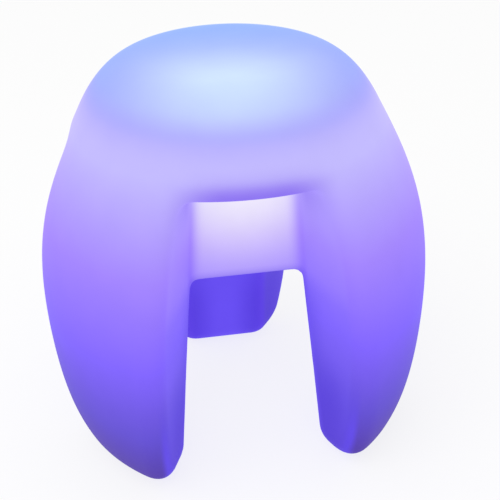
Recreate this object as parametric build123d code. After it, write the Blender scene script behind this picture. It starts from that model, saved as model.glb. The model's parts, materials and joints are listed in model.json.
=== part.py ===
from build123d import *
import math
import os

# A lit stool. One hollow rotomoulded shell of translucent polyethylene makes the seat, three legs and
# the hub between them, and a rechargeable light module is screwed into the underside of the hub.
# Everything is worked out about the shell's round axis, with the floor at z = 0. The last lines move
# it all so that the centre of the footprint is at the origin. One notch faces -Y.

# Shell outline. Drops are measured down from the top of the shell, and insets inwards from its widest
# place, the belly.
shell_height = 425.0
belly_radius = 204.7
belly_drop = 215.0
foot_inset = 36.7
calf_inset = 3.2
shoulder_drop = 105.0
shoulder_inset = 27.7
neck_drop = 45.0
neck_inset = 56.2
rim_inset = 73.7
rim_rounding = 34.0
toe_rounding = 26.0

# Seat: a shallow dish out to a crest, then a gently falling crown out to the rim.
crest_radius = 86.0
dish_depth = 9.0
crown_radius = 200.0
crown_overrun = 20.0

# Shell wall.
wall = 4.5

# Notches between the legs. Widths are half widths at the hub wall, at the notch's ceiling.
notch_count = 3
seat_band = 95.0
hub_apothem = 88.5
notch_half_width = 48.3
notch_flare = 0.435
notch_draft = 0.07
ceiling_slope = 0.136
ceiling_rounding = 18.0
corner_rounding = 9.0
mouth_rounding = 20.0

# Cavity between the legs, under the hub.
hub_height = 223.0
leg_apothem = 92.6
leg_draft = 0.098
cavity_rounding = 9.0
edge_rounding = 7.0

# Round opening and screw recess in the hub floor.
opening_clearance = 2.0
recess_clearance = 1.5
base_inset = 0.5
boss_radius = 6.5
boss_height = 10.0
insert_radius = 2.8
insert_length = 8.0

# Screws, as shank radius, head radius and head height. The clearance goes all round a shank or head.
screw_clearance = 0.2
head_clearance = 0.3
head_inset = 0.1
thread_clearance = 0.05
screw_floor = 1.2
slot_share = 0.4
m4_screw = (2.0, 3.9, 2.3)
m3_screw = (1.5, 2.7, 1.8)
m2_5_screw = (1.25, 2.2, 1.4)

# Light module: base plate, gasket and housing. An inset is from the housing's outside.
base_thickness = 5.0
base_chamfer = 0.5
base_margin = 7.5
gasket_thickness = 1.5
flange_screw_count = 6
flange_screw_margin = 11.0
flange_screw_length = 11.0
housing_radius = 50.0
housing_wall = 2.5
housing_depth = 41.0
shelf_thickness = 2.5
lamp_bay_depth = 7.5
locating_ring_height = 4.0
locating_ring_wall = 2.0
locating_clearance = 0.2
housing_screw_count = 4
housing_screw_inset = 6.0
housing_screw_length = 12.0
housing_boss_radius = 4.0
housing_boss_height = 16.5
housing_boss_clearance = 0.3

# Lens, its seal and its screws.
lens_wall = 2.0
lens_flange_thickness = 2.5
lens_seal_thickness = 1.0
lens_seal_inset = 0.3
dome_height = 20.0
dome_screw_gap = 0.8
lens_screw_count = 4
lens_screw_inset = 4.5
lens_screw_length = 8.0
lens_boss_radius = 3.4

# Lamp board and heat spreader.
spreader_gap = 4.1
spreader_thickness = 3.0
lamp_board_margin = 2.0
board_thickness = 1.6
lamp_size = 5.0
lamp_height = 1.6
lamp_cup_floor = 1.5
lamp_cup_mouth = 2.0
lamp_rings = ((12, 26.0, 15.0), (6, 13.0, 0.0))
lamp_screw_count = 3
lamp_screw_circle = 31.0
lamp_screw_length = 9.0
lead_hole_radius = 6.0

# Battery, with its cradle and strap. The cells lie along X.
cell_radius = 9.2
cell_length = 65.0
cell_gap = 0.4
cell_shoulder = 1.5
cap_radius = 3.0
cap_height = 0.75
battery_centre_y = 10.0
tray_floor = 1.5
tray_end_gap = 2.5
tray_side_gap = 2.0
tray_height = 6.0
cell_clearance = 0.15
strap_width = 12.0
strap_thickness = 1.2
strap_tab = 6.0
strap_screw_grip = 3.5
link_thickness = 0.3
link_width = 7.36

# Driver board above the battery, on posts under the shelf.
driver_board_size = (60.0, 52.0)
driver_board_centre_y = 4.0
driver_board_drop = 11.0
driver_post_inset = 4.0
driver_post_radius = 3.0
driver_screw_grip = 6.0
chip_size = (10.0, 10.0, 1.4)
chip_place = (-14.0, 8.0)
inductor_size = (12.0, 12.0, 6.0)
inductor_chamfer = 1.5
inductor_place = (14.0, 12.0)
capacitor_radius = 4.0
capacitor_height = 8.0
capacitor_places = ((11.0, -9.0), (21.0, -9.0))
plug_size = (8.0, 8.0, 3.6)
plug_chamfer = 0.6

# Port board over the button, the charge socket and the windows in the base plate. They stand in a row
# along X, on the far side of the charge cover's hinge from the battery strap. An offset is from the
# socket's own line.
port_board_size = (54.0, 17.0)
port_board_offset = 1.5
port_board_lift = 7.5
port_board_clearance = 0.3
port_post_radius = 2.5
port_post_x = (-10.0, 14.5)
port_post_offset = 6.0
port_screw_grip = 5.0

# Power button and its switch.
button_x = -22.0
button_offset = 1.0
button_radius = 6.0
button_clearance = 0.15
button_travel = 1.2
button_flange_width = 1.4
button_flange_thickness = 1.0
button_flange_clearance = 0.2
button_ledge = 2.5
button_proud = 0.5
button_dish = 0.6
button_seal_thickness = 0.5
stem_radius = 1.5
switch_size = 6.0
switch_height = 3.5
plunger_radius = 1.7
plunger_length = 3.5
plunger_reach = 1.5
plunger_clearance = 0.1

# Charge socket: a 5.5 mm barrel with a 2.1 mm pin, behind a hinged cover.
socket_x = 2.0
strap_hinge_gap = 0.95
socket_bore = 2.75
socket_body_radius = 5.0
socket_body_length = 14.0
socket_bore_depth = 9.5
socket_pin_radius = 1.05
socket_pin_length = 8.0
socket_flange_width = 1.2
socket_flange_thickness = 1.0
socket_nut_width = 2.0
socket_nut_thickness = 2.5
socket_clearance = 0.1
cover_width = 18.0
cover_length = 20.0
cover_thickness = 2.0
cover_corner = 2.0
cover_gap = 0.2
cover_well_clearance = 0.4
finger_notch_radius = 3.0
finger_notch_drop = 1.0
hinge_radius = 1.1
hinge_pin_radius = 0.6
hinge_pin_reach = 2.0
hinge_clearance = 0.05

# Infrared window and receiver, charge lamp and its light pipe.
window_x = 24.0
window_offset = 1.0
window_radius = 5.5
window_thickness = 1.5
window_ledge = 1.0
window_depth = 2.0
window_clearance = 0.1
receiver_size = (6.0, 4.5, 6.5)
receiver_lens_radius = 1.0
pipe_setback = 5.0
pipe_margin = 2.3
pipe_radius = 1.5
pipe_gap = 0.2
status_lamp_size = (2.0, 1.2, 0.8)

# Wires.
battery_wire_radius = 0.7
battery_wire_reach = 6.5
battery_wire_bend = 3.2
thin_wire_radius = 0.5
thin_wire_pitch = 1.6
thin_wire_count = 4
port_lead_inset = 2.0

# How far a cutter runs past what it cuts, and how near counts as touching.
overrun = 21.25
touching = 0.02

# The belly's height and the rim's radius. The calf is half way up to the belly.
belly_height = shell_height - belly_drop
calf_height = belly_height / 2
rim_radius = belly_radius - rim_inset

# Radii that follow from the housing, outwards to the recess and inwards to the lamp board.
housing_bore = housing_radius - housing_wall
opening_radius = housing_radius + opening_clearance
flange_screw_circle = opening_radius + flange_screw_margin
base_radius = flange_screw_circle + base_margin
recess_radius = base_radius + recess_clearance
housing_screw_circle = housing_radius - housing_screw_inset
lens_screw_circle = housing_radius - lens_screw_inset
dome_radius = lens_screw_circle - m3_screw[1] - dome_screw_gap
spreader_radius = lens_screw_circle - lens_boss_radius - spreader_gap
lamp_board_radius = spreader_radius - lamp_board_margin
button_flange_radius = button_radius + button_flange_width
socket_flange_radius = socket_body_radius + socket_flange_width

# Heights that the rest is built from.
ceiling_height = shell_height - seat_band
recess_depth = base_inset + base_thickness + gasket_thickness
cover_well_depth = cover_thickness + cover_well_clearance
seat_face = hub_height + recess_depth
base_top = seat_face - gasket_thickness
base_bottom = base_top - base_thickness
shelf_top = base_top + housing_depth
shelf_bottom = shelf_top - shelf_thickness
rim_top = shelf_top + lamp_bay_depth
lens_seat = rim_top + lens_seal_thickness
spreader_top = shelf_top + spreader_thickness
lamp_board_top = spreader_top + board_thickness
cell_axis = base_top + tray_floor + cell_radius
driver_board_top = shelf_bottom - driver_board_drop
driver_board_bottom = driver_board_top - board_thickness
port_board_bottom = base_top + port_board_lift
port_board_top = port_board_bottom + board_thickness
window_seat = base_bottom + window_depth

# Places beside one another.
cell_offset = cell_radius + cell_gap / 2
tray_length = cell_length - 2 * tray_end_gap
strap_half_width = cell_offset + cell_radius + cell_clearance + strap_thickness
hinge_y = battery_centre_y - strap_half_width - strap_tab - strap_hinge_gap - hinge_radius
socket_place = (socket_x, hinge_y - cover_length / 2)
button_place = (button_x, socket_place[1] + button_offset)
window_place = (window_x, socket_place[1] + window_offset)
port_board_centre_y = socket_place[1] + port_board_offset
port_post_places = tuple((x, socket_place[1] + port_post_offset) for x in port_post_x)
pipe_x = socket_x - cover_width / 2 - cover_gap - pipe_margin
pipe_place = (pipe_x, socket_place[1] - pipe_setback)


def around(count, radius, first_angle=0.0):
    """Places on a circle about the axis."""
    step = 360 / count
    return [Rot(0, 0, first_angle + step * i) * Pos(radius, 0, 0) for i in range(count)]


def rod(radius, low, high, x=0.0, y=0.0):
    """Upright cylinder between two heights."""
    return Pos(x, y, (low + high) / 2) * Cylinder(radius, high - low)


def block(size_x, size_y, low, high, x=0.0, y=0.0):
    """Upright box between two heights."""
    return Pos(x, y, (low + high) / 2) * Box(size_x, size_y, high - low)


def ring(outer, inner, low, high):
    """Flat ring between two heights."""
    return rod(outer, low, high) - rod(inner, low, high)


def group(parts):
    """One named set of separate solids."""
    return Compound([solid for part in parts for solid in part.solids()])


def repeated(solid, places):
    """The same solid at each place, as one named set."""
    return group([place * solid for place in places])


def screw_up(kind, length, head_base):
    """Pan-head screw that goes up from below: its head hangs under head_base."""
    shank, head, head_height = kind
    body = rod(head, head_base - head_height, head_base)
    body = fillet(body.edges().sort_by(Axis.Z)[0], head_height / 3)
    slot_top = head_base - head_height * (1 - slot_share)
    slot = block(2 * head, head_height / 3, head_base - head_height, slot_top)
    return (body - slot) + rod(shank - thread_clearance, head_base, head_base + length)


def screw_down(kind, length, head_base):
    """The same screw, driven down from above."""
    return mirror(screw_up(kind, length, -head_base), Plane.XY)


def round_body(inset):
    """Revolved outline of the shell, moved inwards by inset."""
    stations = (
        (belly_radius - foot_inset, 0),
        (belly_radius - calf_inset, calf_height),
        (belly_radius, belly_height),
        (belly_radius - shoulder_inset, shell_height - shoulder_drop),
        (belly_radius - neck_inset, shell_height - neck_drop),
        (rim_radius, shell_height),
    )
    side = Spline(*stations)
    tangents = [side.tangent_at(side.param_at_point(Vector(*place))) for place in stations]
    moved = [(radius - inset / abs(t.Y), height) for (radius, height), t in zip(stations, tangents)]
    flank = make_face(Spline(*moved) + Polyline(moved[-1], (0, shell_height), (0, 0), moved[0]))

    top = shell_height - inset
    bottom_of_dish = top - dish_depth
    dish = Bezier(
        (0, bottom_of_dish),
        (crest_radius / 3, bottom_of_dish),
        (crest_radius * 2 / 3, top),
        (crest_radius, top),
    )
    reach = rim_radius + crown_overrun
    crown_angle = math.degrees(math.asin((reach - crest_radius) / crown_radius))
    crown = CenterArc((crest_radius, top - crown_radius), crown_radius, 90 - crown_angle, crown_angle)
    crown_end = crown @ 0
    beyond = 2 * belly_radius
    outside = Polyline(
        crown_end, (beyond, crown_end.Y), (beyond, inset), (0, inset), (0, bottom_of_dish)
    )
    section = flank & make_face(dish + crown + outside)

    corners = section.vertices().filter_by(lambda v: v.X > crest_radius + 1).sort_by(Axis.Y)
    section = fillet(corners[-1], rim_rounding - inset)
    corners = section.vertices().filter_by(lambda v: v.X > crest_radius + 1).sort_by(Axis.Y)
    section = fillet(corners[0], toe_rounding - inset)
    # The seam of the revolved surface is turned to the middle of a leg.
    return Rot(0, 0, -90 + 180 / notch_count) * revolve(Plane.XZ * section, Axis.Z)


def notch_cutter(grow):
    """Drafted wedge that opens along +X, with a sloping ceiling, enlarged all round by grow."""
    near = hub_apothem - grow
    far = 2 * belly_radius
    low = -overrun
    side_growth = grow * math.hypot(1, notch_flare)

    def half_width(u, z):
        flare = notch_flare * (u - hub_apothem)
        return notch_half_width + flare + notch_draft * (ceiling_height - z) + side_growth

    def outline(z):
        corners = [(u, side * half_width(u, z)) for u, side in ((near, -1), (far, -1), (far, 1), (near, 1))]
        return Plane.XY.offset(z) * make_face(Polyline(*corners, close=True))

    wedge = loft([outline(low), outline(shell_height)])
    ceiling = Plane(
        origin=(hub_apothem, 0, ceiling_height + grow * math.hypot(1, ceiling_slope)),
        x_dir=(1, 0, ceiling_slope),
        z_dir=(-ceiling_slope, 0, 1),
    )
    wedge = split(wedge, bisect_by=ceiling, keep=Keep.BOTTOM)
    lid = wedge.faces().sort_by(Axis.Z)[-1]
    lid_sides = [e for e in lid.edges() if abs(e.center().Y) > notch_half_width / 2]
    wedge = fillet(lid_sides, ceiling_rounding + grow)
    at_hub = [e for e in wedge.edges() if abs(e.center().X - near) < touching]
    hub_side = [e for e in at_hub if e.center().Z > low + touching]
    return fillet(hub_side, corner_rounding + grow)


def cavity_cutter(grow):
    """Three-sided drafted block under the hub, enlarged all round by grow."""

    def outline(z):
        apothem = leg_apothem + leg_draft * (hub_height - z) + grow * math.hypot(1, leg_draft)
        return Plane.XY.offset(z) * RegularPolygon(apothem, 3, major_radius=False, rotation=30)

    cavity = loft([outline(-overrun), outline(hub_height + grow)])
    return fillet(cavity.faces().sort_by(Axis.Z)[-1].edges(), cavity_rounding + grow)


def touches(shape, point):
    """Whether a point lies on the surface of a shape."""
    return min(face.distance_to(point) for face in shape.faces()) < touching


def shell_form(inset):
    """The stool as one solid, moved inwards by inset: the outside at 0 and the hollow at the wall."""
    body = round_body(inset)
    notch = notch_cutter(inset)
    notches = [Rot(0, 0, -90 + 360 / notch_count * i) * notch for i in range(notch_count)]
    cavity = cavity_cutter(inset)
    form = body
    for cutter in notches:
        form -= cutter
    form = (form - cavity).solids()[0]

    # The mouths of the notches, down round the toes of the legs.
    mouths = [
        edge
        for edge in form.edges()
        if touches(body, edge @ 0.5) and any(touches(cutter, edge @ 0.5) for cutter in notches)
    ]
    form = fillet(mouths, mouth_rounding - inset).solids()[0]

    # The outline of the cavity: the inner edges of the legs and the lower edges of the hub.
    edges = [edge for face in form.faces() if touches(cavity, face.center()) for edge in face.edges()]
    middles = [tuple(round(value, 2) for value in edge @ 0.5) for edge in edges]
    outline = [edge for edge, middle in zip(edges, middles) if middles.count(middle) == 1]
    return fillet(outline, edge_rounding - inset).solids()[0]


def flange_screw_places():
    return around(flange_screw_count, flange_screw_circle, 30)


def seat_shell():
    """Hollow shell with the recessed hub floor, its round opening and the insert bosses."""
    floor_top = seat_face + wall
    shell = shell_form(0) - shell_form(wall)
    shell += rod(recess_radius + wall, hub_height + wall / 2, floor_top)
    for place in flange_screw_places():
        shell += place * rod(boss_radius, hub_height + wall, seat_face + boss_height)
    shell -= rod(recess_radius, hub_height - edge_rounding, seat_face)
    shell -= rod(opening_radius, hub_height, floor_top + 1)
    for place in flange_screw_places():
        shell -= place * rod(insert_radius, seat_face, seat_face + insert_length)
    return shell


def hub_inserts():
    bore = m4_screw[0]
    insert = ring(insert_radius, bore, seat_face, seat_face + insert_length)
    return repeated(insert, flange_screw_places())


def flange_gasket():
    gasket = ring(base_radius, opening_radius, base_top, seat_face)
    for place in flange_screw_places():
        gasket -= place * rod(m4_screw[0] + screw_clearance, base_top, seat_face)
    return gasket


def flange_screws():
    head_base = base_bottom + m4_screw[2] + head_inset
    return repeated(screw_up(m4_screw, flange_screw_length, head_base), flange_screw_places())


def housing_screws():
    head_base = base_bottom + m3_screw[2] + head_inset
    return repeated(screw_up(m3_screw, housing_screw_length, head_base), housing_screw_places())


def housing_screw_places():
    return around(housing_screw_count, housing_screw_circle)


def screw_hole(kind):
    """Clearance hole through the base plate, with a counterbore for the head from below."""
    shank, head, head_height = kind
    hole = rod(shank + screw_clearance, base_bottom, base_top)
    return hole + rod(head + head_clearance, base_bottom, base_bottom + head_height + head_inset)


def module_base():
    """Base plate with the locating ring, posts, button ledge, charge port and windows."""
    plate = rod(base_radius, base_bottom, base_top)
    plate = chamfer(plate.edges().sort_by(Axis.Z)[0], base_chamfer)
    collar_radius = housing_bore - locating_clearance
    collar_top = base_top + locating_ring_height
    collar = ring(collar_radius, collar_radius - locating_ring_wall, base_top, collar_top)
    for place in housing_screw_places():
        collar -= place * rod(housing_boss_radius + housing_boss_clearance, base_top, collar_top)
    plate += collar
    for x, y in port_post_places:
        plate += rod(port_post_radius, base_top, port_board_bottom, x, y)
        plate -= rod(m2_5_screw[0], base_bottom + screw_floor, port_board_bottom, x, y)
    for place in flange_screw_places():
        plate -= place * screw_hole(m4_screw)
    for place in housing_screw_places():
        plate -= place * screw_hole(m3_screw)
    for y in strap_tab_centres():
        plate -= rod(m2_5_screw[0], base_bottom + screw_floor, base_top, 0, y)

    x, y = button_place
    plate -= rod(button_radius + button_clearance, base_bottom, base_top, x, y)
    flange_bore = button_flange_radius + button_flange_clearance
    plate -= rod(flange_bore, base_bottom + button_ledge, base_top, x, y)

    x, y = socket_place
    well_top = base_bottom + cover_well_depth
    plate -= block(cover_width + 2 * cover_gap, cover_length + 2 * cover_gap, base_bottom, well_top, x, y)
    plate -= hinge_barrel(hinge_radius + cover_gap, cover_width + 2 * cover_gap)
    relief_y = hinge_y + hinge_radius
    relief_top = base_bottom + hinge_radius
    plate -= block(cover_width + 2 * cover_gap, 2 * hinge_radius, base_bottom, relief_top, x, relief_y)
    plate -= hinge_barrel(hinge_pin_radius, cover_width + 2 * hinge_pin_reach)
    flange_bore = socket_flange_radius + socket_clearance
    plate -= rod(flange_bore, well_top, well_top + socket_flange_thickness, x, y)
    plate -= rod(socket_body_radius + socket_clearance, well_top, base_top, x, y)

    x, y = window_place
    plate -= rod(window_radius - window_ledge, base_bottom, base_top, x, y)
    plate -= rod(window_radius + window_clearance, window_seat, base_top, x, y)
    x, y = pipe_place
    return plate - rod(pipe_radius, base_bottom, base_top, x, y)


def hinge_barrel(radius, length):
    """Rod along the charge cover's hinge line."""
    return Pos(socket_x, hinge_y, base_bottom + hinge_radius) * Rot(0, 90, 0) * Cylinder(radius, length)


def module_housing():
    """Cup over the battery and boards, with the lamp bay and its rim on top."""
    housing = ring(housing_radius, housing_bore, base_top, rim_top)
    housing += rod(housing_bore, shelf_bottom, shelf_top)
    housing -= rod(lead_hole_radius, shelf_bottom, shelf_top)
    for place in housing_screw_places():
        boss_top = base_top + housing_boss_height
        housing += place * rod(housing_boss_radius, base_top, boss_top)
        housing -= place * rod(m3_screw[0], base_top, boss_top - screw_floor)
    for place in lens_screw_places():
        housing += place * rod(lens_boss_radius, shelf_top, rim_top)
        housing -= place * rod(m3_screw[0], shelf_top, rim_top)
    for place in lamp_screw_places():
        housing += place * rod(housing_boss_radius, shelf_top - lamp_screw_length, shelf_top)
        housing -= place * rod(m3_screw[0], shelf_top - lamp_screw_length + screw_floor, shelf_top)
    for x, y in driver_post_places():
        housing += rod(driver_post_radius, driver_board_top, shelf_bottom, x, y)
        housing -= rod(m2_5_screw[0], driver_board_top, shelf_bottom - screw_floor, x, y)
    return housing


def lens_screw_places():
    return around(lens_screw_count, lens_screw_circle, 180 / lens_screw_count)


def lamp_screw_places():
    return around(lamp_screw_count, lamp_screw_circle, -90)


def driver_post_places():
    length, width = driver_board_size
    across = length / 2 - driver_post_inset
    along = width / 2 - driver_post_inset
    return [(i * across, driver_board_centre_y + j * along) for i in (-1, 1) for j in (-1, 1)]


def lens_dome():
    """Frosted cap, a slice of a sphere on a flat flange."""
    flange_top = lens_seat + lens_flange_thickness
    sphere_radius = (dome_radius**2 + dome_height**2) / (2 * dome_height)
    centre = flange_top + dome_height - sphere_radius
    ball = Pos(0, 0, centre) * Sphere(sphere_radius)
    hollow = Pos(0, 0, centre) * Sphere(sphere_radius - lens_wall)
    cap = ball & rod(dome_radius, flange_top, flange_top + dome_height)
    flange = rod(housing_radius, lens_seat, flange_top)
    for place in lens_screw_places():
        flange -= place * rod(m3_screw[0] + screw_clearance, lens_seat, flange_top)
    mouth = rod(dome_radius - 2 * lens_wall, lens_seat, flange_top)
    return (cap + flange) - mouth - (hollow & rod(dome_radius, flange_top, flange_top + dome_height))


def lens_seal():
    seal = ring(housing_radius - lens_seal_inset, dome_radius - lens_wall, rim_top, lens_seat)
    for place in lens_screw_places():
        seal -= place * rod(m3_screw[0] + screw_clearance, rim_top, lens_seat)
    return seal


def lens_screws():
    head_base = lens_seat + lens_flange_thickness
    return repeated(screw_down(m3_screw, lens_screw_length, head_base), lens_screw_places())


def heat_spreader():
    plate = ring(spreader_radius, lead_hole_radius, shelf_top, spreader_top)
    for place in lamp_screw_places():
        plate -= place * rod(m3_screw[0] + screw_clearance, shelf_top, spreader_top)
    return plate


def lamp_board():
    board = rod(lamp_board_radius, spreader_top, lamp_board_top)
    for place in lamp_screw_places():
        board -= place * rod(m3_screw[0] + screw_clearance, spreader_top, lamp_board_top)
    return board


def lamp_chips():
    """Square lamps on two rings."""
    lamp_top = lamp_board_top + lamp_height
    lamp = block(lamp_size, lamp_size, lamp_board_top, lamp_top)
    lamp -= Pos(0, 0, lamp_top) * Cone(lamp_cup_floor, lamp_cup_mouth, lamp_height)
    return repeated(lamp, [place for ring_values in lamp_rings for place in around(*ring_values)])


def lamp_board_screws():
    return repeated(screw_down(m3_screw, lamp_screw_length, lamp_board_top), lamp_screw_places())


def battery_cells():
    """Two cells side by side, each with its raised cap."""
    shoulder = cell_length / 2 - cell_shoulder
    can = rod(cell_radius, -cell_length / 2, shoulder) + rod(cap_radius, shoulder, shoulder + cap_height)
    can = Rot(0, 90, 0) * can
    turned = Rot(0, 0, 180) * can
    near, far = battery_centre_y - cell_offset, battery_centre_y + cell_offset
    return group([Pos(0, near, cell_axis) * can, Pos(0, far, cell_axis) * turned])


def battery_tray():
    width = 4 * cell_offset - 2 * tray_side_gap
    tray = block(tray_length, width, base_top, base_top + tray_height, 0, battery_centre_y)
    for side in (-1, 1):
        y = battery_centre_y + side * cell_offset
        tray -= Pos(0, y, cell_axis) * Rot(0, 90, 0) * Cylinder(cell_radius + cell_clearance, tray_length)
    return tray


def strap_tab_centres():
    reach = strap_half_width + strap_tab / 2
    return (battery_centre_y - reach, battery_centre_y + reach)


def battery_strap():
    """Band over both cells, with a screw tab on each side."""

    def over_cells(radius):
        across = 2 * (cell_offset + radius)
        upper = SlotOverall(across, 2 * radius)
        lower = Pos(0, -(cell_axis - base_top) / 2) * Rectangle(across, cell_axis - base_top)
        return upper + lower

    inner_radius = cell_radius + cell_clearance
    outline = over_cells(inner_radius + strap_thickness) - over_cells(inner_radius)
    corner = (-strap_width / 2, battery_centre_y, cell_axis)
    strap = extrude(Plane(origin=corner, x_dir=(0, 1, 0), z_dir=(1, 0, 0)) * outline, strap_width)
    strap -= block(strap_width, 2 * strap_half_width, base_bottom, base_top, 0, battery_centre_y)
    for y, side in zip(strap_tab_centres(), (-1, 1)):
        tab = block(strap_width, strap_tab + strap_thickness, base_top, base_top + strap_thickness)
        strap += Pos(0, y - side * strap_thickness / 2, 0) * tab
        strap -= rod(m2_5_screw[0] + screw_clearance, base_top, base_top + strap_thickness, 0, y)
    return strap


def strap_screws():
    screw = screw_down(m2_5_screw, strap_screw_grip + strap_thickness, base_top + strap_thickness)
    return group([Pos(0, y, 0) * screw for y in strap_tab_centres()])


def cell_link():
    """Nickel strip that joins the two cells at their far end."""
    x = -cell_length / 2 - link_thickness / 2
    length = 2 * cell_offset + cell_radius
    return Pos(x, battery_centre_y, cell_axis) * Box(link_thickness, length, link_width)


def driver_board():
    length, width = driver_board_size
    board = block(length, width, driver_board_bottom, driver_board_top, 0, driver_board_centre_y)
    for x, y in driver_post_places():
        board -= rod(m2_5_screw[0] + screw_clearance, driver_board_bottom, driver_board_top, x, y)
    return board


def driver_board_screws():
    screw = screw_up(m2_5_screw, driver_screw_grip + board_thickness, driver_board_bottom)
    return group([Pos(x, y, 0) * screw for x, y in driver_post_places()])


def controller_chip():
    length, width, height = chip_size
    return block(length, width, driver_board_top, driver_board_top + height, *chip_place)


def charge_inductor():
    """Square shielded coil with chamfered corners."""
    length, width, height = inductor_size
    coil = block(length, width, driver_board_top, driver_board_top + height, *inductor_place)
    return chamfer(coil.edges().filter_by(Axis.Z), inductor_chamfer)


def smoothing_capacitors():
    top = driver_board_top + capacitor_height
    return group([rod(capacitor_radius, driver_board_top, top, *place) for place in capacitor_places])


def battery_plug():
    """Plug of the battery leads, under the edge of the driver board."""
    length, width, height = plug_size
    x = driver_board_size[0] / 2 - length / 2
    plug = block(length, width, driver_board_bottom - height, driver_board_bottom, x, battery_centre_y)
    return chamfer(plug.edges().filter_by(Axis.X), plug_chamfer)


def battery_leads():
    """Two wires from the cells' ends, round and up into the plug."""
    start = cell_length / 2
    turn = start + battery_wire_reach
    plug_height = driver_board_bottom - plug_size[2] / 2
    wires = []
    for side in (-1, 1):
        cell_y = battery_centre_y + side * cell_offset
        plug_y = battery_centre_y + side * plug_size[1] / 4
        route = [
            (start, cell_y, cell_axis),
            (turn, cell_y, cell_axis),
            (turn, plug_y, plug_height),
            (driver_board_size[0] / 2, plug_y, plug_height),
        ]
        path = FilletPolyline(*route, radius=battery_wire_bend)
        section = Plane(origin=route[0], z_dir=(1, 0, 0)) * Circle(battery_wire_radius)
        wires.append(sweep(section, path=path))
    return group(wires)


def upright_wires(low, high, y):
    """A row of thin wires that run straight up between two boards."""
    first = -thin_wire_pitch * (thin_wire_count - 1) / 2
    places = [first + thin_wire_pitch * i for i in range(thin_wire_count)]
    return group([rod(thin_wire_radius, low, high, x, y) for x in places])


def lamp_leads():
    return upright_wires(driver_board_top, spreader_top, 0)


def port_leads():
    y = driver_board_centre_y - driver_board_size[1] / 2 + port_lead_inset
    return upright_wires(port_board_top, driver_board_bottom, y)


def port_board():
    length, width = port_board_size
    board = block(length, width, port_board_bottom, port_board_top, 0, port_board_centre_y)
    socket_hole = socket_body_radius + port_board_clearance
    board -= rod(socket_hole, port_board_bottom, port_board_top, *socket_place)
    for x, y in port_post_places:
        board -= rod(m2_5_screw[0] + screw_clearance, port_board_bottom, port_board_top, x, y)
    return board


def port_board_screws():
    screw = screw_down(m2_5_screw, port_screw_grip + board_thickness, port_board_top)
    return group([Pos(x, y, 0) * screw for x, y in port_post_places])


def power_button():
    """Round cap with a dished face, a flange that keeps it in, and a stem up to the switch."""
    x, y = button_place
    flange_low = base_bottom + button_ledge + button_seal_thickness
    flange_high = flange_low + button_flange_thickness
    cap = rod(button_radius, base_bottom - button_proud, flange_low)
    cap = fillet(cap.edges().sort_by(Axis.Z)[0], button_dish)
    ball_radius = (button_radius**2 + button_dish**2) / button_dish
    cap -= Pos(0, 0, base_bottom - button_proud + button_dish / 2 - ball_radius) * Sphere(ball_radius)
    cap += rod(button_flange_radius, flange_low, flange_high)
    cap += rod(stem_radius, flange_high, plunger_foot())
    return Pos(x, y, 0) * cap


def plunger_foot():
    return port_board_bottom - switch_height - plunger_reach


def switch_plunger():
    return rod(plunger_radius, plunger_foot(), plunger_foot() + plunger_length, *button_place)


def button_switch():
    x, y = button_place
    low = port_board_bottom - switch_height
    body = block(switch_size, switch_size, low, port_board_bottom, x, y)
    bore_top = plunger_foot() + plunger_length + button_travel + plunger_clearance
    return body - rod(plunger_radius + plunger_clearance, low, bore_top, x, y)


def button_seal():
    low = base_bottom + button_ledge
    seal = ring(button_flange_radius, button_radius + button_clearance, low, low + button_seal_thickness)
    return Pos(*button_place, 0) * seal


def charge_socket():
    low = base_bottom + cover_well_depth
    socket = rod(socket_flange_radius, low, low + socket_flange_thickness)
    socket += rod(socket_body_radius, low, low + socket_body_length)
    socket -= rod(socket_bore, low, low + socket_bore_depth)
    return Pos(*socket_place, 0) * socket


def charge_socket_pin():
    top = base_bottom + cover_well_depth + socket_bore_depth
    pin = rod(socket_pin_radius, top - socket_pin_length, top)
    pin = fillet(pin.edges().sort_by(Axis.Z)[0], socket_pin_radius / 2)
    return Pos(*socket_place, 0) * pin


def charge_socket_nut():
    outline = RegularPolygon(socket_body_radius + socket_nut_width, 6, major_radius=False)
    nut = Pos(0, 0, base_top) * extrude(outline, socket_nut_thickness)
    return Pos(*socket_place, 0) * (nut - rod(socket_body_radius, base_top, base_top + socket_nut_thickness))


def charge_cover():
    """Flat cover in its well, with a round hinge edge and a shallow finger notch at the far edge."""
    x, y = socket_place
    low = base_bottom
    cover = block(cover_width, cover_length, low, low + cover_thickness, x, y)
    cover = fillet(cover.edges().filter_by(Axis.Z).sort_by(Axis.Y)[:2], cover_corner)
    cover -= block(cover_width, 2 * hinge_radius, low, low + cover_thickness, x, hinge_y)
    cover += hinge_barrel(hinge_radius, cover_width)
    cover += block(cover_width, hinge_radius, low, low + cover_thickness, x, hinge_y - hinge_radius / 2)
    cover -= hinge_barrel(hinge_pin_radius + hinge_clearance, cover_width)
    finger_notch = Pos(x, y - cover_length / 2, low - finger_notch_drop) * Sphere(finger_notch_radius)
    return cover - finger_notch


def charge_cover_pin():
    return hinge_barrel(hinge_pin_radius, cover_width + 2 * hinge_pin_reach)


def infrared_window():
    return rod(window_radius, window_seat, window_seat + window_thickness, *window_place)


def infrared_receiver():
    """Moulded receiver under the port board, its round lens facing the window."""
    length, width, height = receiver_size
    x, y = window_place
    low = port_board_bottom - height
    body = block(length, width, low, port_board_bottom, x, y)
    return body + Pos(x, y, low) * Sphere(receiver_lens_radius)


def status_light_pipe():
    high = port_board_bottom - status_lamp_size[2] - pipe_gap
    return rod(pipe_radius, base_bottom, high, *pipe_place)


def status_lamp():
    length, width, height = status_lamp_size
    return block(length, width, port_board_bottom - height, port_board_bottom, *pipe_place)


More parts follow.
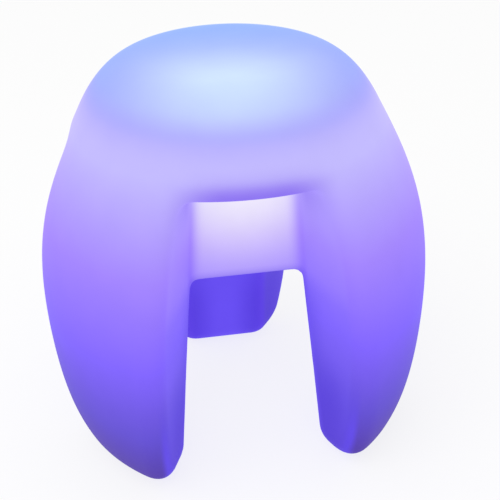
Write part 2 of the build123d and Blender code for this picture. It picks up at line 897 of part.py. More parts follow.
pieces = (
    seat_shell, hub_inserts, flange_gasket, flange_screws, housing_screws, module_base, module_housing,
    lens_dome, lens_seal, lens_screws, heat_spreader, lamp_board, lamp_chips, lamp_board_screws,
    battery_cells, battery_tray, battery_strap, strap_screws, cell_link, battery_plug, battery_leads,
    driver_board, driver_board_screws, controller_chip, charge_inductor, smoothing_capacitors,
    lamp_leads, port_leads, port_board, port_board_screws, power_button, switch_plunger, button_switch,
    button_seal, charge_socket, charge_socket_pin, charge_socket_nut, charge_cover, charge_cover_pin,
    infrared_window, infrared_receiver, status_light_pipe, status_lamp,
)

if __name__ == "__main__":
    os.makedirs("parts", exist_ok=True)
    models = {piece.__name__: piece() for piece in pieces}
    bounds = models["seat_shell"].bounding_box(optimal=True)
    to_footprint_centre = Pos(-bounds.center().X, -bounds.center().Y, -bounds.min.Z)
    print("moved by", to_footprint_centre.position, "shell size", bounds.size)
    for name, model in models.items():
        export_step(to_footprint_centre * model, f"parts/{name}.step")
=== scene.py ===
# %% [markdown]
# # A lit stool, moulded in one piece
# The stool is one hollow shell of milky polyethylene, turned slowly in an oven until the powder
# inside it has melted onto the walls of the mould. Three legs, the hub between them and the seat
# are all that one shell. A lamp in the hub lights it from inside, so every wall glows. The packed
# model gives each piece its place. Here the shell gets its soft mould-made shape and its glow, and
# the small pieces of the light module under the hub get their finishes.

# %% The frame
import json
import math
import bmesh
import bpy
import mathutils
import numpy as np
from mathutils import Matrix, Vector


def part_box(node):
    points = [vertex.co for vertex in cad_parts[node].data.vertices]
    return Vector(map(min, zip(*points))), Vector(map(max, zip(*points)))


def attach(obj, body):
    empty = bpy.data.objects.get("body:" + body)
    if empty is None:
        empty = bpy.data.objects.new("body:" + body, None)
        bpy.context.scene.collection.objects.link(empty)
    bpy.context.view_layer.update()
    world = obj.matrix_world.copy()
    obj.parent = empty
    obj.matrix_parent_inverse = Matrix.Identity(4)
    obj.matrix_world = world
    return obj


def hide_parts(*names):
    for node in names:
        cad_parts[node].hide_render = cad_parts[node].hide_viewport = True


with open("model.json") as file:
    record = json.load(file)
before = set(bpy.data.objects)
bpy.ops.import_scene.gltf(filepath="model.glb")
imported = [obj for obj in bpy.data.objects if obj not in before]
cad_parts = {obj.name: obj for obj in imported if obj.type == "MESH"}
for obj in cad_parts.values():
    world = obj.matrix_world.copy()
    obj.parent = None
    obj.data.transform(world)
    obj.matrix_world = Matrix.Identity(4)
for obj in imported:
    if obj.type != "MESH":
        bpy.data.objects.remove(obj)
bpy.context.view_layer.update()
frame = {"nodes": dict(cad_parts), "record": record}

MM = 0.001

# %% [markdown]
# ## Where the shell stands
# The frame's origin is the middle of the footprint, which isn't quite the round shell's own axis,
# because two legs reach one way and one the other. The lens sits on the axis, so its box gives the
# axis. The top of the shell and the seat of the module are read in the same way. They could be
# typed in as numbers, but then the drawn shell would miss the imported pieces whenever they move.

# %% Places read from the model
lens_low, lens_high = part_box("lens_dome")
axis = np.array([(lens_low.x + lens_high.x) / 2, (lens_low.y + lens_high.y) / 2, 0.0])
seat_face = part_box("flange_gasket")[1].z
top_of_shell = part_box("seat_shell")[1].z
print("axis at", axis, "module seat at", round(seat_face, 4), "top at", round(top_of_shell, 4))

# %% [markdown]
# ## The shape as a formula
# Every face of the shell is soft, and every edge melts into the next, as rotomoulding makes them.
# One way to get that is to model hard faces and bevel them, but three deep notches in a barrel meet
# in corners that bevels make badly. So the shell is written as a field: a number for each point in
# space that is below zero inside the plastic and above zero outside. A plain field for each face is
# easy to write, and a smooth maximum joins two of them with a round edge instead of a sharp one.

# %% Sizes of the shell, in metres, about its own axis
side_heights = np.array([0.0, 107.5, 215.0, 322.5, 378.4, 430.0]) * MM
side_radii = np.array([168.5, 202.1, 204.3, 176.2, 148.3, 126.8]) * MM
crown_height = top_of_shell + 5.0 * MM
dish_depth = 5.9 * MM
dish_radius = 138.4 * MM
crown_drop = 2.3 * MM
crown_drop_radius = 120.0 * MM
notch_count = 3
hub_apothem = 88.8 * MM
notch_half_width = 48.3 * MM
notch_flare = 0.439
notch_draft = 0.07
ceiling_height = 330.9 * MM
ceiling_slope = 0.136
hub_height = 223.0 * MM
leg_apothem = 92.7 * MM
leg_draft = 0.099
wall = 4.5 * MM

# Width of the soft join at each edge.
rim_join = 49.7 * MM
ceiling_join = 20.1 * MM
corner_join = 9.7 * MM
mouth_join = 24.5 * MM
edge_join = 7.4 * MM
toe_join = 28.7 * MM

side_curve = np.polynomial.Polynomial.fit(side_heights, side_radii, len(side_heights) - 1)
side_lean = side_curve.deriv()
widest = side_curve(np.linspace(0, top_of_shell, 200)).max()
print("widest radius of the side:", round(widest / MM, 1), "mm")


# %% Soft joins
def smooth_max(a, b, width):
    """The larger of two fields, rounded where they are within width of each other: a weighted mean
    of the two, plus width times share times one minus share, where share runs from 0 to 1."""
    share = np.clip(0.5 + 0.5 * (a - b) / width, 0, 1)
    return b + (a - b) * share + width * share * (1 - share)


def ease(value, start, end):
    """0 before start, 1 after end, and three t squared minus two t cubed between them."""
    t = np.clip((value - start) / (end - start), 0, 1)
    return t * t * (3 - 2 * t)


def fade(value, start, end):
    """The reverse of ease: 1 before start, and 0 after end."""
    return 1 - ease(value, start, end)


taken_off = smooth_max(0.0, 0.0, rim_join)
print("the rim's join takes", round(taken_off / MM, 1), "mm off the sharp edge")


# %% The faces of the shell, each as a field
def folded(points):
    """Turns each point into one third of the stool: its distance from the axis, its distance u
    along the nearest notch's middle line, and its distance v to the side of that line."""
    x, y = points[..., 0], points[..., 1]
    reach = np.hypot(x, y)
    third = 2 * np.pi / notch_count
    turn = np.mod(np.arctan2(y, x) + np.pi / 2 + third / 2, third) - third / 2
    return reach, reach * np.cos(turn), reach * np.abs(np.sin(turn))


def barrel(points):
    """Round side and seat. The side is the distance out from one smooth curve of radius against
    height. The seat is the height above a plane that is dished by (1 - (r / dish)^2)^1.5 and falls
    towards the rim with the fourth power of the radius."""
    reach, z = np.hypot(points[..., 0], points[..., 1]), points[..., 2]
    side = (reach - side_curve(z)) / np.sqrt(1 + side_lean(z) ** 2)
    dish = dish_depth * np.clip(1 - (reach / dish_radius) ** 2, 0, 1) ** 1.5
    seat = z - (crown_height - dish - crown_drop * (reach / crown_drop_radius) ** 4)
    return side, seat


def notch(points):
    """One of the openings between the legs: two flared and drafted side walls, a sloping ceiling
    and the flat wall of the hub, softly joined. It is below zero in the open space."""
    _, u, v = folded(points)
    z = points[..., 2]
    outwards, downwards = u - hub_apothem, ceiling_height - z
    half_width = notch_half_width + notch_flare * outwards + notch_draft * downwards
    side_wall = (v - half_width) / math.hypot(1, notch_flare)
    ceiling = -downwards - ceiling_slope * outwards
    return smooth_max(smooth_max(side_wall, ceiling, ceiling_join), hub_apothem - u, corner_join)


def space_under_hub(points):
    """Open space inside the legs: below the hub, and nearer the axis than the legs' inner faces."""
    _, u, v = folded(points)
    z = points[..., 2]
    along_leg = u * math.cos(math.pi / notch_count) + v * math.sin(math.pi / notch_count)
    inner_face = along_leg - (leg_apothem + leg_draft * (hub_height - z))
    return smooth_max(z - hub_height, inner_face, corner_join)


def shell_field(points):
    """The whole outside of the stool: the barrel without the notches and without the space under
    the hub, cut off softly at the floor."""
    body = smooth_max(*barrel(points), rim_join)
    body = smooth_max(body, -notch(points), mouth_join)
    body = smooth_max(body, -space_under_hub(points), edge_join)
    return smooth_max(body, -points[..., 2], toe_join)


def hollow_field(points):
    """The hollow: the same shape, one wall further in."""
    return shell_field(points) + wall


seat_middle = np.array([0.0, 0.0, crown_height - dish_depth])
off_skin = float(shell_field(seat_middle))
print("the field puts the seat's middle", round(off_skin / MM, 2), "mm off the skin")


# %% [markdown]
# ## From the formula to a mesh
# A grid of small cells is laid over the stool. Each cell that the surface passes through gets one
# vertex, at the middle of the places where the surface crosses the cell's edges, and each crossed
# edge gets one four-sided face between the four cells round it. Metaballs or a remeshed volume
# could give a skin too, but their edges can't be set by a formula. This mesh has no poles and no
# seam. Its vertices are then spread out evenly and pulled onto the surface again, so that it
# follows the formula exactly.


# %% A skin over a field
def skin(field, low, high, step):
    """Vertices and outward four-sided faces where the field is zero, on a grid with that step."""
    lines = [np.arange(a, b + step, step) for a, b in zip(low, high)]
    nodes = np.stack(np.meshgrid(*lines, indexing="ij"), -1)
    value = field(nodes)
    inside = value < 0
    size = np.array(value.shape)

    def shifted(array, offset):
        return array[tuple(slice(o, o + n - 1) for o, n in zip(offset, size))]

    corners = [(i, j, k) for i in (0, 1) for j in (0, 1) for k in (0, 1)]
    count = sum(shifted(inside, corner).astype(int) for corner in corners)
    crossed = (count > 0) & (count < 8)
    number = np.full(crossed.shape, -1)
    number[crossed] = np.arange(crossed.sum())

    total = np.zeros((crossed.sum(), 3))
    hits = np.zeros((crossed.sum(), 1))
    faces = []
    for direction in range(3):
        unit = np.eye(3, dtype=int)[direction]
        for start in (corner for corner in corners if corner[direction] == 0):
            first = shifted(value, start)[crossed]
            second = shifted(value, start + unit)[crossed]
            cuts = (first < 0) != (second < 0)
            part = np.where(cuts, first / np.where(cuts, first - second, 1), 0)
            place = shifted(nodes, start)[crossed] + part[:, None] * unit * step
            total += place * cuts[:, None]
            hits += cuts[:, None]
        # The four cells round each grid edge, in order round that edge.
        across, up = (direction + 1) % 3, (direction + 2) % 3
        span = [slice(1, n - 1) for n in size]
        ahead = list(span)
        ahead[direction] = slice(2, size[direction])
        here, there = inside[tuple(span)], inside[tuple(ahead)]
        edge = np.argwhere(here != there) + 1
        outward = here[here != there]
        ring = []
        for a, b in ((0, 0), (-1, 0), (-1, -1), (0, -1)):
            cell = edge.copy()
            cell[:, across] += a
            cell[:, up] += b
            ring.append(number[tuple(cell.T)])
        ring = np.stack(ring, 1)
        faces.append(np.where(outward[:, None], ring, ring[:, ::-1]))
    return total / hits, np.concatenate(faces)


ball_points, ball_faces = skin(lambda p: np.linalg.norm(p, axis=-1) - 1, [-2] * 3, [2] * 3, 0.5)
print("a test ball gets", len(ball_points), "vertices and", len(ball_faces), "faces")


# %% Even spacing
slope_step = 0.2 * MM
smoothing = 0.5
pulls_each_round = 2
least_slope = 0.1


def slope_of(field, points):
    """The field's slope at each point, from its change over a short step along each axis."""
    steps = slope_step * np.eye(3)
    changes = [field(points + step) - field(points - step) for step in steps]
    return np.stack(changes, -1) / (2 * slope_step)


def edges_of(faces):
    """Both ends of every side of the four-sided faces, in order round each face."""
    return np.concatenate([faces[:, [i, (i + 1) % 4]] for i in range(4)])


def settle(points, faces, field, rounds):
    """Moves each vertex half way to the mean of its neighbours, and then back onto the surface
    along the field's slope, by the field's value over the slope's length."""
    here, there = edges_of(faces).T
    count = np.bincount(here, minlength=len(points))[:, None]
    for _ in range(rounds):
        total = [np.bincount(here, points[there, i], len(points)) for i in range(3)]
        points = points + smoothing * (np.stack(total, 1) / count - points)
        for _ in range(pulls_each_round):
            slope = slope_of(field, points)
            pull = field(points) / np.maximum((slope ** 2).sum(-1), least_slope)
            points = points - pull[:, None] * slope
    return points


print("slope on the seat's middle:", slope_of(shell_field, seat_middle).round(3))


# %% [markdown]
# ## The round recess under the hub
# The light module screws up into a shallow recess in the hub's flat underside, with a round opening
# inside it. The grid is too coarse for those edges, so a disc of faces is taken out of the skin,
# its ragged edge is moved onto a circle, and a turned ring with the recess's real profile is joined
# in. The skin of the hollow gets the same, and the ring then joins the outside to the inside
# through the opening. A Boolean modifier could cut it, but it leaves slivers among so many faces.

# %% Sizes of the recess
recess_radius = 72.0 * MM
opening_radius = 52.0 * MM
recess_depth = seat_face - hub_height
outer_cut = 78.0 * MM
inner_cut = 80.0 * MM
join_gap = 1.5 * MM
near_floor = 3.0 * MM
lip_round = 2.0 * MM
corner_round = 0.8 * MM
ring_steps = 144
print("the recess is", round(recess_depth / MM, 1), "mm deep")


# %% Cutting a disc out of a skin
def cut_disc(points, faces, radius, height):
    """Leaves out the faces within the radius near that height, and puts the edge they leave on a
    circle. An edge that only one face has is numbered once, so it is found by counting."""
    centre = points[faces].mean(1)
    within = np.hypot(centre[:, 0], centre[:, 1]) < radius
    faces = faces[~(within & (np.abs(centre[:, 2] - height) < near_floor))]
    pairs = edges_of(faces)
    code = pairs.min(1) * len(points) + pairs.max(1)
    found, count = np.unique(code, return_counts=True)
    single = found[count == 1]
    edge = np.unique(np.concatenate([single // len(points), single % len(points)]))
    reach = np.hypot(points[edge, 0], points[edge, 1])
    points = points.copy()
    points[edge, :2] *= (radius / reach)[:, None]
    points[edge, 2] = height
    return points, faces


def arc(centre, radius, start, end, steps=4):
    """Points of a round corner in the profile's plane, as radius and height."""
    turn = np.radians(np.linspace(start, end, steps + 1))
    return np.stack([centre[0] + radius * np.cos(turn), centre[1] + radius * np.sin(turn)], 1)


def turned(profile, steps):
    """Carries a profile of radius and height round the axis: a grid of steps by its points."""
    turn = np.arange(steps) * 2 * np.pi / steps
    r, z = np.asarray(profile).T
    x, y = np.outer(np.cos(turn), r), np.outer(np.sin(turn), r)
    return np.stack([x, y, np.tile(z, (steps, 1))], -1)


print("a round corner of the profile has", len(arc((0, 0), lip_round, 0, 90)), "points")


# %% The profile of the recess, from the underside up into the hollow
floor_top = seat_face + wall
recess_profile = np.concatenate([
    [(outer_cut - join_gap, hub_height)],
    arc((recess_radius + lip_round, hub_height + lip_round), lip_round, 270, 180),
    arc((recess_radius - corner_round, seat_face - corner_round), corner_round, 0, 90),
    arc((opening_radius + corner_round, seat_face + corner_round), corner_round, 270, 180),
    arc((opening_radius + corner_round, floor_top - corner_round), corner_round, 180, 90),
    arc((recess_radius + wall - corner_round, floor_top - corner_round), corner_round, 90, 0),
    [(recess_radius + wall, hub_height + wall + corner_round)],
    [(inner_cut - join_gap, hub_height + wall)],
])
print("the recess profile has", len(recess_profile), "points")


# %% Building the shell
grid_reach = 220.0 * MM
grid_margin = 12.0 * MM
outer_step = 4.0 * MM
inner_step = 7.0 * MM
outer_rounds = 6
inner_rounds = 4


def cut_skin(field, step, rounds, radius, height):
    """A settled skin with a disc left out at that height."""
    low = np.array([-grid_reach, -grid_reach, -grid_margin])
    high = np.array([grid_reach, grid_reach, top_of_shell + grid_margin])
    points, faces = skin(field, low, high, step)
    return cut_disc(settle(points, faces, field, rounds), faces, radius, height)


def build_shell():
    """Joins the outside skin, the turned ring and the skin of the hollow into one closed mesh."""
    outer_points, outer_faces = cut_skin(
        shell_field, outer_step, outer_rounds, outer_cut, hub_height
    )
    inner_points, inner_faces = cut_skin(
        hollow_field, inner_step, inner_rounds, inner_cut, hub_height + wall
    )

    ring = turned(recess_profile, ring_steps)
    index = np.arange(ring_steps * len(recess_profile)).reshape(ring_steps, -1)
    after = np.roll(index, -1, 0)
    corners = [index[:, :-1], index[:, 1:], after[:, 1:], after[:, :-1]]
    ring_faces = np.stack(corners, -1).reshape(-1, 4)

    outer_count, inner_count = len(outer_points), len(inner_points)
    points = np.concatenate([outer_points, inner_points, ring.reshape(-1, 3)]) + axis
    # The hollow's faces are turned over, because they look into the hollow.
    faces = np.concatenate([
        outer_faces,
        inner_faces[:, ::-1] + outer_count,
        ring_faces + outer_count + inner_count,
    ])
    mesh = bpy.data.meshes.new("seat_shell_skin")
    mesh.from_pydata(points.tolist(), [], faces.tolist())

    work = bmesh.new()
    work.from_mesh(mesh)
    bmesh.ops.delete(work, geom=[v for v in work.verts if not v.link_faces], context="VERTS")
    open_edges = [edge for edge in work.edges if edge.is_boundary]
    half_way = hub_height + wall / 2
    for above in (False, True):
        ends = [edge for edge in open_edges if (edge.verts[0].co.z >= half_way) == above]
        bmesh.ops.bridge_loops(work, edges=ends)
    bmesh.ops.recalc_face_normals(work, faces=work.faces)
    left_open = sum(1 for edge in work.edges if not edge.is_manifold)
    work.to_mesh(mesh)
    work.free()
    mesh.shade_smooth()
    print("shell:", len(mesh.vertices), "vertices,", len(mesh.polygons), "faces")
    print("edges left open:", left_open)
    piece = bpy.data.objects.new("lit_shell", mesh)
    bpy.context.collection.objects.link(piece)
    return piece


shell = build_shell()
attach(shell, "stool")
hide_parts("seat_shell")

# %% [markdown]
# ## Colours
# A colour picked from a screen is an sRGB hex value, and Blender computes in linear light. Each
# value could be converted by hand where it is used, but then nobody can read it any more. So every
# colour here stays hex, and one function turns it to linear where it enters Blender.

# %% Colours
def display(colour):
    """An sRGB hex colour as values from 0 to 1, still as on the screen, where the glow is mixed."""
    return np.array([int(colour[i:i + 2], 16) / 255 for i in (1, 3, 5)])


def linear(colour):
    """Turns an sRGB hex colour, or sRGB values from 0 to 1, into linear light, by the standard's
    curve: a straight part near black, and above it a power of 2.4."""
    colour = display(colour) if isinstance(colour, str) else colour
    return np.where(colour <= 0.04045, colour / 12.92, ((colour + 0.055) / 1.055) ** 2.4)


def opaque(colour):
    """Linear light with an alpha of 1, as a node's colour socket takes it."""
    return (*colour, 1.0)


print("half-way grey #808080 is", linear("#808080").round(3), "in linear light")


# %% [markdown]
# ## The glow
# Light goes round and round inside the hollow before it gets out, so each place on the outside
# shines nearly evenly, brighter near the lamp and dimmer down the legs. A real lamp behind a real
# translucent wall would need a very slow render, and its colour couldn't be exported. So each
# vertex gets the colour that it shines with, worked out from where it is, which way it faces, and
# how squarely and how closely the lamp looks at it from inside. The few colours that it is mixed
# from are matched to how the lit stool looks: deep violet feet, lilac shoulders, a nearly white
# panel on the hub right beside the lamp, and a pale blue pool on the seat.

# %% What the glow is mixed from
lamp_place = np.array([0.0, 0.0, 0.335])
lamp_gain = 2.04
lamp_glow = "#fefcfd"
# Each ramp's stops: a height in metres, and the wall's colour there.
wall_ramp = (
    (0.000, "#523c98"), (0.090, "#6552d1"), (0.180, "#8367ff"),
    (0.270, "#a386fd"), (0.360, "#c3bbfe"),
)
# Painted light: walls turned towards the lamp glow lighter than the ramp.
fold_light_ramp = ((0.100, "#856dff"), (0.320, "#b5a4fd"))
# Painted shade: the darker band on the lip above each notch.
lip_shade = "#8c73f0"
# Painted shade on the legs' inner faces, on their sides deep in a notch and in the corner.
inner_leg_shade = "#7058f4"
notch_side_shade = "#664fe9"
leg_corner_shade = "#5740d4"
leg_corner_shade_share = 0.6
# Painted shade: a darker band along the edges round the space under the hub.
edge_shade = "#694eeb"
edge_shade_share = 0.6
seat_back_glow = "#94bcfe"
seat_front_glow = "#9f9cfd"
beam_glow = "#cfe4fe"
beam_place = np.array([-0.0095, -0.0745])
beam_radius = 96.3 * MM
beam_fall = 2.24
# Painted shade: a darker ring of glow just inside the seat's rim.
rim_ring_shade = "#aeaafd"
rim_ring_shade_share = 0.61
rim_ring_radius = 137.7 * MM
rim_ring_width = 9.4 * MM
print("the lamp is", round((lamp_place[2] - hub_height) / MM), "mm above the hub's underside")


# %% Where one colour gives way to the next
# Each pair is the start and the end of an ease. A look or a facing is the cosine of an angle, and
# the rest are metres: heights, reaches from the axis, distances to the side, and depths from a
# notch's wall.
fold_light_facing = (-0.42, 0.10)
lip_look = (0.0, 0.9)
lip_height = (0.285, 0.325)
lip_reach = (0.092, 0.108)
lip_side = (0.025, 0.085)
lip_depth = (0.0, 0.035)
inner_leg_look = (-0.1, 0.6)
inner_leg_height = (0.205, 0.235)
notch_side_look = (-0.6, -0.2)
notch_side_turned_away = (-0.1, 0.5)
notch_side_reach = (0.105, 0.145)
notch_side_height = (0.14, 0.25)
foot_height = (0.05, 0.15)
leg_corner_depth = (0.0, 0.035)
leg_corner_height = (0.06, 0.16)
leg_corner_reach = (0.14, 0.19)
hub_reach = (0.094, 0.115)
hub_side = (0.050, 0.075)
seat_edge = (-39 * MM, -21 * MM)
seat_height = (0.345, 0.375)
seat_length = 260.0 * MM
rim_ring_height = (0.36, 0.385)
edge_reach = 1.3 * edge_join
print("the rim's ring is", round(2 * rim_ring_radius / MM), "mm across")


# %% Mixing
def mixed(colours, share, other):
    """Moves colours towards another colour by a share for each vertex."""
    return colours + np.reshape(share, (-1, 1)) * (display(other) - colours)


def ramped(ramp, value):
    """Straight mixes between a ramp's colours."""
    stops, colours = zip(*ramp)
    colours = np.array([display(colour) for colour in colours])
    return np.stack([np.interp(value, stops, colours[:, i]) for i in range(3)], 1)


print("a wall 0.2 m up shines in", ramped(wall_ramp, np.array([0.2])).round(2)[0], "on the screen")


# %% The glow of the walls
def wall_glow(points, normals):
    """A ramp by height, mixed in turn with a painted light, by how little the wall faces away from
    the lamp, with a painted shade on the lip above each notch, by how far down the surface looks,
    with painted shade on the legs' inner faces and sides, by how far they look towards the axis,
    and with the lamp's own light."""
    reach, u, v = folded(points)
    z = points[:, 2]
    outward = (normals[:, :2] * points[:, :2]).sum(1) / np.maximum(reach, MM)
    from_lamp = points - lamp_place
    distance = np.linalg.norm(from_lamp, axis=1)
    facing = (from_lamp * normals).sum(1) / distance
    depth = notch(points)

    colours = ramped(wall_ramp, z)
    # Painted light on the walls turned towards the lamp.
    fold = fade(facing, *fold_light_facing)
    colours = colours + fold[:, None] * (ramped(fold_light_ramp, z) - colours)
    # Painted shade on the lip above each notch, where the surface looks down.
    looking_down = fade(normals[:, 2], *lip_look) * ease(z, *lip_height)
    over_notch = ease(u, *lip_reach) * fade(v, *lip_side) * fade(depth, *lip_depth)
    colours = mixed(colours, looking_down * over_notch, lip_shade)

    # Painted shade on the legs' inner faces, on their sides deep in a notch or low on the leg,
    # and in the corner between.
    looking_in = ease(-outward, *inner_leg_look) * fade(z, *inner_leg_height)
    colours = mixed(colours, looking_in, inner_leg_shade)
    sideways = ease(-outward, *notch_side_look) * fade(-outward, *notch_side_turned_away)
    deep_in = fade(reach, *notch_side_reach) * fade(z, *notch_side_height)
    colours = mixed(colours, sideways * np.maximum(deep_in, fade(z, *foot_height)), notch_side_shade)
    corner = fade(depth, *leg_corner_depth) * fade(reach, *leg_corner_reach)
    corner = leg_corner_shade_share * corner * fade(z, *leg_corner_height)
    colours = mixed(colours, corner, leg_corner_shade)

    # The lamp's own light on the hub: its angle's cosine over its distance, both squared.
    light = lamp_gain * (np.clip(facing, 0, 1) * hub_apothem / distance) ** 2
    on_hub = fade(u, *hub_reach) * fade(v, *hub_side)
    return mixed(colours, (1 - np.exp(-light)) * on_hub, lamp_glow)


# %% The glow of the seat and of the edges
def glow_colours(points, normals):
    """The walls' glow, then the seat's from back to front, with the lamp's beam on it, then a
    ring of painted shade inside the rim, and last painted shade on the edges round the space
    under the hub."""
    side, seat = barrel(points)
    z = points[:, 2]
    on_seat = ease(seat - side, *seat_edge) * ease(z, *seat_height)
    front = np.clip(0.5 - points[:, 1] / seat_length, 0, 1)
    seat_colours = mixed(display(seat_back_glow), front, seat_front_glow)
    colours = wall_glow(points, normals)
    colours = colours + on_seat[:, None] * (seat_colours - colours)
    from_beam = np.linalg.norm(points[:, :2] - beam_place, axis=1)
    colours = mixed(colours, np.exp(-(from_beam / beam_radius) ** beam_fall) * on_seat, beam_glow)
    reach = np.hypot(points[:, 0], points[:, 1])
    # Painted shade: a darker ring inside the rim.
    rim_ring = np.exp(-((reach - rim_ring_radius) / rim_ring_width) ** 2)
    rim_ring = rim_ring_shade_share * rim_ring * ease(z, *rim_ring_height)
    colours = mixed(colours, rim_ring, rim_ring_shade)

    # Painted shade along the edges round the space under the hub.
    body = smooth_max(smooth_max(side, seat, rim_join), -notch(points), mouth_join)
    at_edge = np.clip(1 - np.abs(body + space_under_hub(points)) / edge_reach, 0, 1)
    return mixed(colours, edge_shade_share * at_edge, edge_shade)


# %% Putting the glow on the mesh
# Painted shade: the skin is much darker than milky plastic, so the room's light on it stays weak.
darkened_skin_colour = "#3b315f"
room_light = 0.90
sheen_light = 0.006


def paint_glow(piece):
    """Stores the glow as linear light in a colour attribute, less what the skin will reflect of the
    room: its darkened colour times the room's light, and a little for its gloss."""
    mesh = piece.data
    points = np.empty(len(mesh.vertices) * 3, np.float32)
    normals = np.empty_like(points)
    mesh.vertices.foreach_get("co", points)
    mesh.vertices.foreach_get("normal", normals)
    points = points.reshape(-1, 3).astype(float) - axis
    colours = linear(np.clip(glow_colours(points, normals.reshape(-1, 3)), 0, 1))
    colours = np.clip(colours - room_light * linear(darkened_skin_colour) - sheen_light, 0, 1)
    glow = mesh.attributes.new("glow", "FLOAT_COLOR", "POINT")
    rows = np.concatenate([colours, np.ones((len(colours), 1))], 1).astype(np.float32)
    glow.data.foreach_set("color", rows.ravel())
    print("glow from", colours.min(0).round(3), "to", colours.max(0).round(3))


paint_glow(shell)


# %% [markdown]
# ## Materials
# Each finish starts from the real stuff: what it is, how its surface was made, and what that gives
# the eye. Nodes could be clicked together in the shader editor, but a script can be read again and
# repeated. One small helper adds a node with its settings and links, and each material is then a
# short list of nodes.

# %% The node helpers
# A Mix node has inputs for every kind of data, and these are the numbers of its colours.
FIRST_COLOUR, SECOND_COLOUR, MIXED_COLOUR = 6, 7, 2


def plug(tree, node, links):
    """Joins inputs of a node to other nodes' outputs."""
    for name, output in dict(links).items():
        tree.links.new(output, node.inputs[name])


def add(tree, kind, settings=(), links=()):
    """Adds a node. A setting names a property of the node or else one of its inputs, and a link
    joins one of its inputs to another node's output."""
    node = tree.nodes.new(kind)
    for name, value in dict(settings).items():
        if isinstance(name, str) and hasattr(node, name):
            setattr(node, name, value)
        else:
            node.inputs[name].default_value = value
    plug(tree, node, links)
    return node


def new_material(name, colour, roughness, settings=()):
    """An empty material with its main shader, and the coordinates that its patterns lie in."""
    material = bpy.data.materials.new(name)
    material.use_nodes = True
    tree = material.node_tree
    tree.nodes.clear()
    start = {"Base Color": opaque(linear(colour)), "Roughness": roughness, **dict(settings)}
    shader = add(tree, "ShaderNodeBsdfPrincipled", start)
    add(tree, "ShaderNodeOutputMaterial", links={"Surface": shader.outputs["BSDF"]})
    place = add(tree, "ShaderNodeTexCoord").outputs["Object"]
    return material, tree, shader, place


def finish(piece, material):
    """Gives a piece its one material."""
    piece.data.materials.clear()
    piece.data.materials.append(material)


# %% [markdown]
# ## The skin of the shell
# The shell is milky polyethylene, and the mould was blasted with grit to make its skin satin. It
# could be drawn with subsurface scattering and a real lamp inside, which is slow and noisy. Here
# the colour that was stored on the mesh is what the skin shines with, a wide cloud stands for the
# wall's uneven thickness, and a fine bump stands for the grit. The skin's colour is painted shade:
# it is set much darker than the milky plastic, because nearly all that is seen is glow.

# %% Rotomoulded polyethylene, lit from inside
wall_wander = 36 * MM
thin_glow, thick_glow = 1.04, 0.96
blasted_grain = 1.1 * MM
grain_depth = 0.2 * MM


def lit_polyethylene():
    """Milky polyethylene from a grit-blasted mould: a satin skin, and walls whose thickness wanders
    by a few tenths of a millimetre, which mottles the glow very slightly. Real blasting leaves a
    grain of about 0.2 mm, too fine to show, so it is drawn five times as coarse."""
    material, tree, shader, place = new_material(
        "rotomoulded_polyethylene", darkened_skin_colour, 0.55,
        {"IOR": 1.5, "Specular IOR Level": 0.06, "Emission Strength": 1.0},
    )
    glow = add(tree, "ShaderNodeAttribute", {"attribute_name": "glow"})
    cloud = add(tree, "ShaderNodeTexNoise", {"Scale": 1 / wall_wander, "Detail": 3.0}, {
        "Vector": place,
    })
    thickness = add(tree, "ShaderNodeMapRange", {"To Min": thick_glow, "To Max": thin_glow}, {
        "Value": cloud.outputs["Fac"],
    })
    lit = add(tree, "ShaderNodeVectorMath", {"operation": "SCALE"}, {
        0: glow.outputs["Color"], "Scale": thickness.outputs["Result"],
    })
    grain = add(tree, "ShaderNodeTexNoise", {"Scale": 1 / blasted_grain, "Detail": 2.0}, {
        "Vector": place,
    })
    bump = add(tree, "ShaderNodeBump", {"Strength": 0.12, "Distance": grain_depth}, {
        "Height": grain.outputs["Fac"],
    })
    plug(tree, shader, {"Emission Color": lit.outputs[0], "Normal": bump.outputs["Normal"]})
    return material


finish(shell, lit_polyethylene())
print("the shell's finish:", shell.data.materials[0].name)

# %% [markdown]
# ## The light module
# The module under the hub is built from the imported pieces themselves, which have their real shapes,
# so they only need finishes. Each could have a node tree of its own, but they fall into three
# families, and a family's function with a few numbers for each piece is shorter and keeps them
# alike: moulded things, bare metals and circuit boards.

# %% [markdown]
# ## Moulded plastic and rubber
# Something moulded copies its mould: a polished one gives gloss, a spark-eroded one gives a fine
# dull grain. Its colour is never quite even, because pigment flows into swirls and clouds. So one
# noise of the grain's size drives bump and gloss together, and a wide one clouds the colour.

# %% Moulded plastic and rubber
cloud_width = 14 * MM
duller, glossier = 1.25, 0.75


